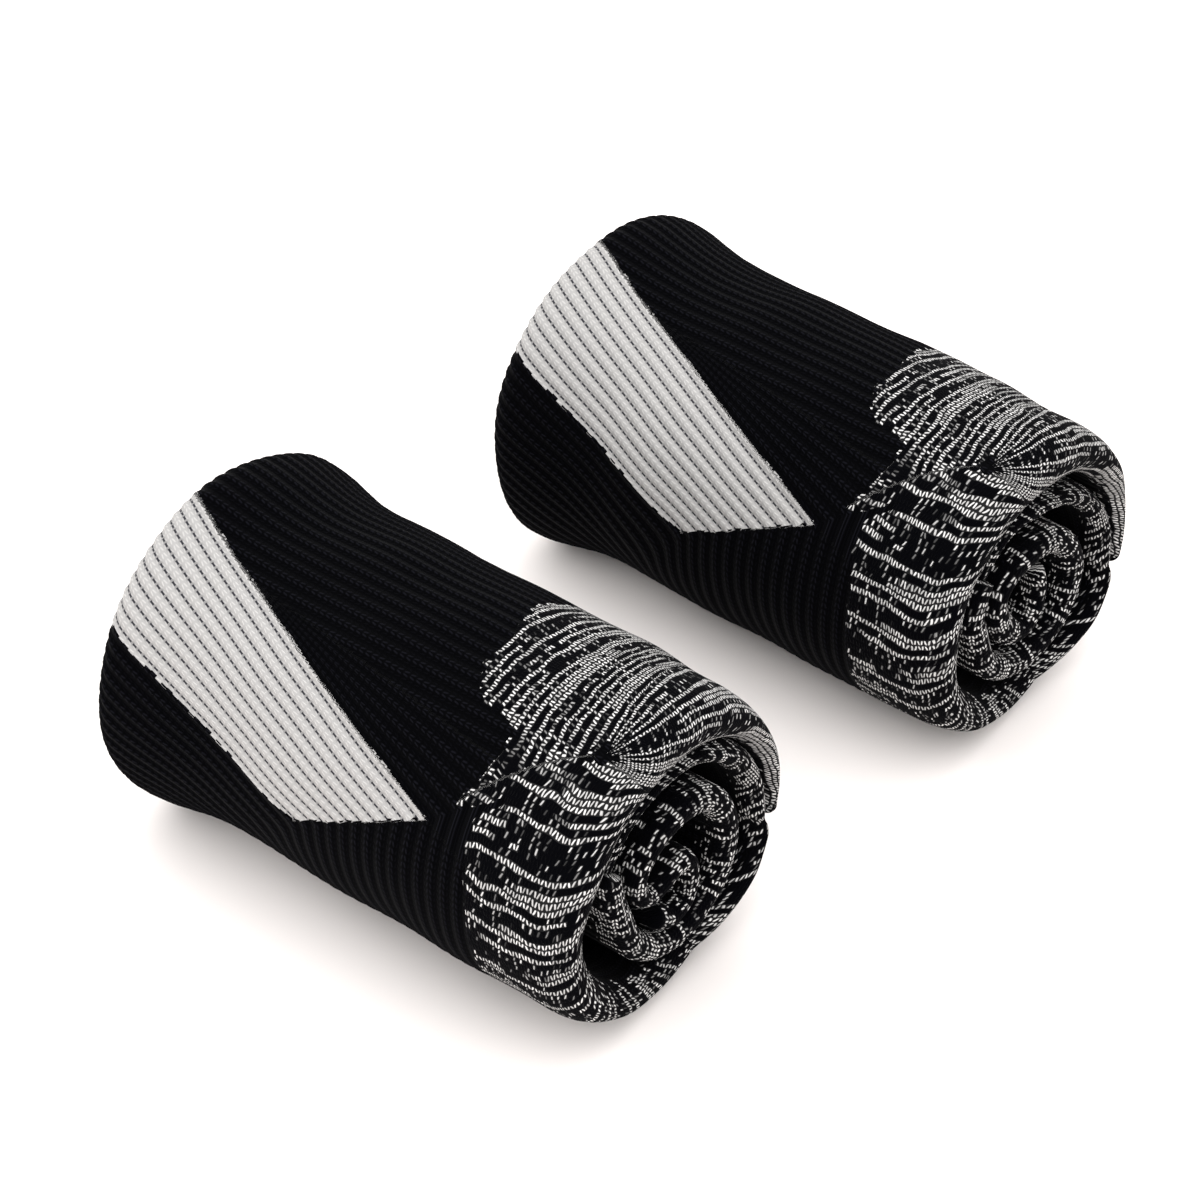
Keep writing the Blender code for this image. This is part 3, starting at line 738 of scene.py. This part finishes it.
def stitches(tree, wale, course):
    """Plain knit from numbers of wales and courses: how high its yarn stands, a random value
    for each stitch, and the number of its course."""
    across = add(tree, "ShaderNodeMath", {0: wale}, operation="FRACT")
    up = add(tree, "ShaderNodeMath", {0: course}, operation="FRACT")
    aside = add(tree, "ShaderNodeMath", {0: across, 1: 0.5}, operation="SUBTRACT")
    aside = add(tree, "ShaderNodeMath", {0: aside}, operation="ABSOLUTE")
    leg = add(tree, "ShaderNodeMath", {0: up, 1: LEG_SLANT, 2: LEG_APART},
              operation="MULTIPLY_ADD")
    off = add(tree, "ShaderNodeMath", {0: aside, 1: leg}, operation="SUBTRACT")
    off = add(tree, "ShaderNodeMath", {0: off}, operation="ABSOLUTE")
    yarn = add(tree, "ShaderNodeMapRange", {0: off, 1: YARN_CORE, 2: YARN_EDGE, 3: 1.0, 4: 0.0},
               interpolation_type="SMOOTHSTEP")
    belly = add(tree, "ShaderNodeMath", {0: up, 1: math.pi}, operation="MULTIPLY")
    belly = add(tree, "ShaderNodeMath", {0: belly}, operation="SINE")
    belly = add(tree, "ShaderNodeMapRange",
                {0: belly, 1: BELLY_FROM, 2: BELLY_TO, 3: DIP, 4: 1.0})
    yarn = add(tree, "ShaderNodeMath", {0: yarn, 1: belly}, operation="MULTIPLY")
    column_no = add(tree, "ShaderNodeMath", {0: wale}, operation="FLOOR")
    row_no = add(tree, "ShaderNodeMath", {0: course}, operation="FLOOR")
    cell = add(tree, "ShaderNodeCombineXYZ", {0: column_no, 1: row_no})
    chance = add(tree, "ShaderNodeTexWhiteNoise", {"Vector": cell}, noise_dimensions="2D")
    return yarn, chance, row_no


# %% [markdown]
# ## Marled yarn
# Marled yarn is black twisted with grey, so its colour runs along a course in streaks and then
# changes. Noise along each course gives the streaks, and a random shift for each course keeps
# neighbours apart. Every second course is made paler, and pale courses crowd together and thin
# out again, which gives thin pale lines between dark ones. A stitch is grey where all of this
# comes to more than a level. About half of the stitches also have a fleck of grey on one leg,
# from faint to nearly full. The toe's courses are numbered from its seam by the same rule, so
# the few that are paler beside the gore have a pale stretch in the toe as well.

# %% The marl
WALE, COURSE = 1.45, -1.12  # a stitch of the heel and sole; the courses count downwards
UNEVEN, UNEVEN_SCALE = 2.2, 160.0  # how far and how often the courses wander
STREAK = 45.0  # how far one colour runs along a course, roughly
SHIFT = 200.0  # how far apart in the noise two courses may lie
TURN_PALER = 0.3  # every second course
CROWD, CROWD_PALER = 0.23, 0.35  # how quickly pale courses crowd together, and how much
SOLE_COURSE, HEEL_COURSE, SOLE_DARKER = -36.0, -26.0, 0.08  # fewer pale courses on the sole
GORE_COURSES, FRONT_COURSES = (-25.0, 3.5), (16.5, 3.0)  # those next to the gore, and in front
GORE_PALER = 0.14  # these are mostly pale
SOFT_LEVEL = 0.05
FLECK_DRAW, BRIGHT_DRAW = 3.7, 7.3  # they make two more random values of a stitch's one
FLECKS_FROM, FLECK = 0.5, 0.9  # half of the stitches have a fleck, at most this pale
DULLEST = 0.55  # the dullest grey stitch, next to the brightest
GREY_FROM, GREY_FULL, GREY_IN_PAINTED_SHADE = 0.1, 0.6, 0.02  # painted shade: how grey fades down between the stitches
MARL_HEIGHT = 0.16


def marled(tree, seed, level, scatter):
    """The heel's and the sole's yarn: streaks of grey along the courses, stitch by stitch.

    scatter is how far single stitches stray from their streak.
    """
    along, across = pair(tree, "courses")
    place = add(tree, "ShaderNodeTexCoord", {}, 3)
    sway = add(tree, "ShaderNodeTexNoise",
               {"Vector": place, "Scale": UNEVEN_SCALE, "Detail": 1.0}, 1)
    sway_across = add(tree, "ShaderNodeSeparateXYZ", {0: sway})
    sway_along = sway_across.node.outputs[1]
    across = add(tree, "ShaderNodeMath", {0: sway_across, 1: UNEVEN, 2: across},
                 operation="MULTIPLY_ADD")
    along = add(tree, "ShaderNodeMath", {0: sway_along, 1: UNEVEN, 2: along},
                operation="MULTIPLY_ADD")
    wale = add(tree, "ShaderNodeMath", {0: along, 1: 1 / WALE}, operation="MULTIPLY")
    course = add(tree, "ShaderNodeMath", {0: across, 1: 1 / COURSE}, operation="MULTIPLY")
    yarn, chance, row_no = stitches(tree, wale, course)

    shift = add(tree, "ShaderNodeTexWhiteNoise", {"W": row_no}, noise_dimensions="1D")
    shift = add(tree, "ShaderNodeMath", {0: shift, 1: SHIFT, 2: seed}, operation="MULTIPLY_ADD")
    run = add(tree, "ShaderNodeMath", {0: along, 1: 1 / STREAK, 2: shift},
              operation="MULTIPLY_ADD")
    streak = add(tree, "ShaderNodeTexNoise", {"W": run, "Scale": 1.0, "Detail": 0.0},
                 noise_dimensions="1D")
    streak = add(tree, "ShaderNodeMath", {0: chance, 1: scatter, 2: streak},
                 operation="MULTIPLY_ADD")
    pale = add(tree, "ShaderNodeMath", {0: row_no, 1: 2.0}, operation="FLOORED_MODULO")
    streak = add(tree, "ShaderNodeMath", {0: pale, 1: TURN_PALER, 2: streak},
                 operation="MULTIPLY_ADD")
    crowd = add(tree, "ShaderNodeMath", {0: row_no, 1: CROWD, 2: seed}, operation="MULTIPLY_ADD")
    crowd = add(tree, "ShaderNodeTexNoise", {"W": crowd, "Scale": 1.0, "Detail": 0.0},
                noise_dimensions="1D")
    streak = add(tree, "ShaderNodeMath", {0: crowd, 1: CROWD_PALER, 2: streak},
                 operation="MULTIPLY_ADD")
    sole = add(tree, "ShaderNodeMapRange",
               {0: row_no, 1: SOLE_COURSE, 2: HEEL_COURSE, 3: SOLE_DARKER, 4: 0.0})
    streak = add(tree, "ShaderNodeMath", {0: streak, 1: sole}, operation="SUBTRACT")
    gore, front = (
        add(tree, "ShaderNodeMath", {0: row_no, 1: middle, 2: reach}, operation="COMPARE")
        for middle, reach in (GORE_COURSES, FRONT_COURSES)
    )
    gore = add(tree, "ShaderNodeMath", {0: gore, 1: front}, operation="MAXIMUM")
    streak = add(tree, "ShaderNodeMath", {0: gore, 1: GORE_PALER, 2: streak},
                 operation="MULTIPLY_ADD")
    grey = add(tree, "ShaderNodeMapRange",
               {0: streak, 1: level, 2: level + SOFT_LEVEL, 3: 0.0, 4: 1.0})

    fleck = add(tree, "ShaderNodeMath", {0: chance, 1: FLECK_DRAW}, operation="MULTIPLY")
    fleck = add(tree, "ShaderNodeMath", {0: fleck}, operation="FRACT")
    fleck = add(tree, "ShaderNodeMapRange", {0: fleck, 1: FLECKS_FROM, 2: 1.0, 3: 0.0, 4: FLECK})
    side = add(tree, "ShaderNodeMath", {0: wale}, operation="FRACT")
    side = add(tree, "ShaderNodeMath", {0: side, 1: 0.5}, operation="LESS_THAN")
    fleck = add(tree, "ShaderNodeMath", {0: fleck, 1: side}, operation="MULTIPLY")
    grey = add(tree, "ShaderNodeMath", {0: grey, 1: fleck}, operation="MAXIMUM")
    # Painted shade: between the legs and under the next course the grey is coloured nearly black.
    shown = add(tree, "ShaderNodeMapRange",
                {0: yarn, 1: GREY_FROM, 2: GREY_FULL, 3: GREY_IN_PAINTED_SHADE, 4: 1.0})
    grey = add(tree, "ShaderNodeMath", {0: grey, 1: shown}, operation="MULTIPLY")
    bright = add(tree, "ShaderNodeMath", {0: chance, 1: BRIGHT_DRAW}, operation="MULTIPLY")
    bright = add(tree, "ShaderNodeMath", {0: bright}, operation="FRACT")
    bright = add(tree, "ShaderNodeMath", {0: bright, 1: 1.0 - DULLEST, 2: DULLEST},
                 operation="MULTIPLY_ADD")
    grey = add(tree, "ShaderNodeMath", {0: grey, 1: bright}, operation="MULTIPLY")
    colour = add(tree, "ShaderNodeMix", {0: grey, 6: linear(MARL_BLACK), 7: linear(MARL_GREY)},
                 2, data_type="RGBA")
    height = add(tree, "ShaderNodeMath", {0: yarn, 1: MARL_HEIGHT}, operation="MULTIPLY")
    return colour, height, chance


# %% [markdown]
# ## Ribs
# A rib is two wales that stand proud, with a groove on each side where the purl stitches draw
# in. The black yarn shows its stitches only as a faint gleam on the ridges, a painted highlight
# that colours them a lighter black than the grooves. In the grey band each groove shows a row
# of dark dots, as if black yarn behind it came through, and painted shade darkens the band
# between the legs of a stitch and up each rib's side.

# %% The ribs
RIB_COURSE = 1.55  # the height of a stitch on a rib
GROOVE_CORE, GROOVE_EDGE = 0.02, 0.1  # where the dots are full and where they end
DOT_LENGTH, DOT_DARK = 0.65, 0.6  # the dot's share of a course, and how dark it is
GAP_PAINTED_SHADE = 0.28  # painted shade between the legs of a stitch
FLANK, FLANK_PAINTED_SHADE = 0.45, 0.3  # the painted shade up a rib's side
RIB_HEIGHT, STITCH_HEIGHT = 0.24, 0.25


def ribbed(tree):
    """The leg's ribs: black with a painted highlight on the ridges, or grey in the band, with dark
    dots in its grooves and painted shade between its stitches and up its ribs' sides.
    """
    number, along = pair(tree, "ribs")
    turn = add(tree, "ShaderNodeMath", {0: number, 1: 2 * math.pi}, operation="MULTIPLY")
    ridge = add(tree, "ShaderNodeMath", {0: turn}, operation="COSINE")
    ridge = add(tree, "ShaderNodeMath", {0: ridge, 1: -0.5, 2: 0.5}, operation="MULTIPLY_ADD")
    wale = add(tree, "ShaderNodeMath", {0: number, 1: 2.0}, operation="MULTIPLY")
    course = add(tree, "ShaderNodeMath", {0: along, 1: 1 / RIB_COURSE}, operation="MULTIPLY")
    yarn, chance, _ = stitches(tree, wale, course)
    # Painted highlight: the black is coloured lighter on the ridges' stitches and darkest in the
    # grooves.
    black = add(tree, "ShaderNodeMath", {0: ridge, 1: yarn}, operation="MULTIPLY")
    black = add(tree, "ShaderNodeMix", {0: black, 6: linear(KNIT_BLACK), 7: linear(RIDGE_PAINTED_GLEAM)},
                2, data_type="RGBA")
    groove = add(tree, "ShaderNodeMapRange",
                 {0: ridge, 1: GROOVE_CORE, 2: GROOVE_EDGE, 3: 1.0, 4: 0.0})
    up = add(tree, "ShaderNodeMath", {0: course}, operation="FRACT")
    dot = add(tree, "ShaderNodeMath", {0: up, 1: DOT_LENGTH}, operation="LESS_THAN")
    dot = add(tree, "ShaderNodeMath", {0: dot, 1: groove}, operation="MULTIPLY")
    # Painted shade: the band is coloured darker between the legs of a stitch and up each rib's
    # side.
    painted_relief_shade = add(tree, "ShaderNodeMapRange", {0: yarn, 1: 0.0, 2: 1.0, 3: GAP_PAINTED_SHADE, 4: 0.0})
    flank = add(tree, "ShaderNodeMapRange", {0: ridge, 1: 0.0, 2: FLANK, 3: FLANK_PAINTED_SHADE, 4: 0.0})
    painted_relief_shade = add(tree, "ShaderNodeMath", {0: painted_relief_shade, 1: flank}, operation="ADD")
    dots_and_painted_shade = add(tree, "ShaderNodeMath", {0: dot, 1: DOT_DARK, 2: painted_relief_shade}, operation="MULTIPLY_ADD",
                use_clamp=True)
    grey = add(tree, "ShaderNodeMix", {0: dots_and_painted_shade, 6: linear(BAND_GREY), 7: linear(BAND_DOTS_AND_PAINTED_SHADE)},
               2, data_type="RGBA")
    height = add(tree, "ShaderNodeMath", {0: yarn, 1: STITCH_HEIGHT, 2: ridge},
                 operation="MULTIPLY_ADD")
    height = add(tree, "ShaderNodeMath", {0: height, 1: RIB_HEIGHT}, operation="MULTIPLY")
    return black, grey, height, chance


# %% [markdown]
# ## The finishes
# Sports socks are usually knitted from cotton and nylon, and thick ones are often lined with
# terry. Such cloth is matt, with a faint fuzz that lightens its outline. The depths inside the
# marl and the band choose the yarn. Each stitch's random value is added to them first, so one
# yarn gives way to another stitch by stitch, never along a clean line.

# %% The knit's material
BAND_RAGGED, BAND_LEVEL = 0.9, 0.45  # how far the band's outline strays, and its middle
MARL_RAGGED, MARL_LEVEL = 1.6, 0.8


def knit_material(name, seed, level, scatter):
    """Knit in black ribs, the grey band and the marl."""
    material = bpy.data.materials.new(name)
    material.use_nodes = True
    tree = material.node_tree
    shader = tree.nodes["Principled BSDF"]
    black, grey, rib_height, rib_chance = ribbed(tree)
    marl, marl_height, marl_chance = marled(tree, seed, level, scatter)
    marl_depth, band_depth = pair(tree, "zones")
    ragged = add(tree, "ShaderNodeMath", {0: rib_chance, 1: BAND_RAGGED, 2: band_depth},
                 operation="MULTIPLY_ADD")
    in_band = add(tree, "ShaderNodeMath", {0: ragged, 1: BAND_LEVEL}, operation="GREATER_THAN")
    ragged = add(tree, "ShaderNodeMath", {0: marl_chance, 1: MARL_RAGGED, 2: marl_depth},
                 operation="MULTIPLY_ADD")
    in_marl = add(tree, "ShaderNodeMath", {0: ragged, 1: MARL_LEVEL}, operation="GREATER_THAN")
    leg = add(tree, "ShaderNodeMix", {0: in_band, 6: black, 7: grey}, 2, data_type="RGBA")
    colour = add(tree, "ShaderNodeMix", {0: in_marl, 6: leg, 7: marl}, 2, data_type="RGBA")
    height = add(tree, "ShaderNodeMix", {0: in_marl, 2: rib_height, 3: marl_height})
    bump = add(tree, "ShaderNodeBump", {"Strength": 1.0, "Distance": MM, "Height": height})
    tree.links.new(colour, shader.inputs["Base Color"])
    tree.links.new(bump, shader.inputs["Normal"])
    shader.inputs["Roughness"].default_value = 0.95
    shader.inputs["Specular IOR Level"].default_value = 0.02
    shader.inputs["Sheen Weight"].default_value = 0.01
    shader.inputs["Sheen Roughness"].default_value = 0.4
    return material


# %% [markdown]
# ## From turns to finished pieces
# Each turn takes the place of its plain node in the imported model and rides on the one body.
# The turns inside get more stray stitches than the leg, because their marl looks more mixed at
# the folded ends.

# %% Give each piece its finish and its place in the frame
finishes = {
    # seed, the level above which a stitch is grey, and the scatter
    "leg_and_heel": knit_material("ribbed knit with marled heel", 1.0, 0.90, 0.12),
    "foot_turn": knit_material("ribbed knit with marled sole", 2.0, 0.95, 0.25),
    "toe_roll": knit_material("marled plain knit", 3.0, 1.05, 0.4),
}
for node, piece in pieces.items():
    sub_part = node.split("_sock_")[1]
    piece.data.materials.append(finishes[sub_part])
    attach(piece, "root")
    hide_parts(node)
    print(f"{piece.name} stands for {node}, in {finishes[sub_part].name}")

# %% [markdown]
# ## Floor, light and camera
# A pale floor that runs far past the view gives a plain background and takes the soft shadows
# where the rolls touch it. A bright, even sky does most of the lighting, and one broad lamp
# gives it a direction. A long lens keeps the rolls nearly parallel.

# %% Floor and light
bpy.ops.object.select_all(action="DESELECT")
bpy.ops.mesh.primitive_plane_add(size=6.0, location=(0.0, 0.0, 0.0))
floor = bpy.context.object
floor.name = "floor"
paint = bpy.data.materials.new("matt white board")
paint.use_nodes = True
paint.node_tree.nodes["Principled BSDF"].inputs["Base Color"].default_value = linear("#f4eeeb")
paint.node_tree.nodes["Principled BSDF"].inputs["Roughness"].default_value = 1.0
floor.data.materials.append(paint)

world = bpy.data.worlds.new("even sky")
bpy.context.scene.world = world
world.use_nodes = True
world.node_tree.nodes["Background"].inputs["Color"].default_value = linear("#ffffff")
world.node_tree.nodes["Background"].inputs["Strength"].default_value = 1.75

bpy.ops.object.light_add(type="AREA", location=(-0.25, -0.2, 1.3))
lamp = bpy.context.object
lamp.data.shape = "DISK"
lamp.data.size = 2.2
lamp.data.energy = 10.0
lamp.rotation_euler = (-lamp.location).to_track_quat("-Z", "Y").to_euler()
print("one floor, one sky and one lamp")

# %% Camera
LOOK_AT = Vector((-5.84, -3.8, 33.0)) * MM
DISTANCE = 0.801
AZIMUTH, ELEVATION = math.radians(40.0), math.radians(38.6)
back = Vector(
    (
        math.sin(AZIMUTH) * math.cos(ELEVATION),
        -math.cos(AZIMUTH) * math.cos(ELEVATION),
        math.sin(ELEVATION),
    )
)
bpy.ops.object.camera_add(location=LOOK_AT + back * DISTANCE)
camera = bpy.context.object
camera.rotation_euler = back.to_track_quat("Z", "Y").to_euler()
camera.data.sensor_width = 36.0
camera.data.lens = 120.0
camera.data.clip_start = 0.01
bpy.context.scene.camera = camera
bpy.context.scene.view_settings.view_transform = "Standard"
print("camera at", [round(v, 3) for v in camera.location])
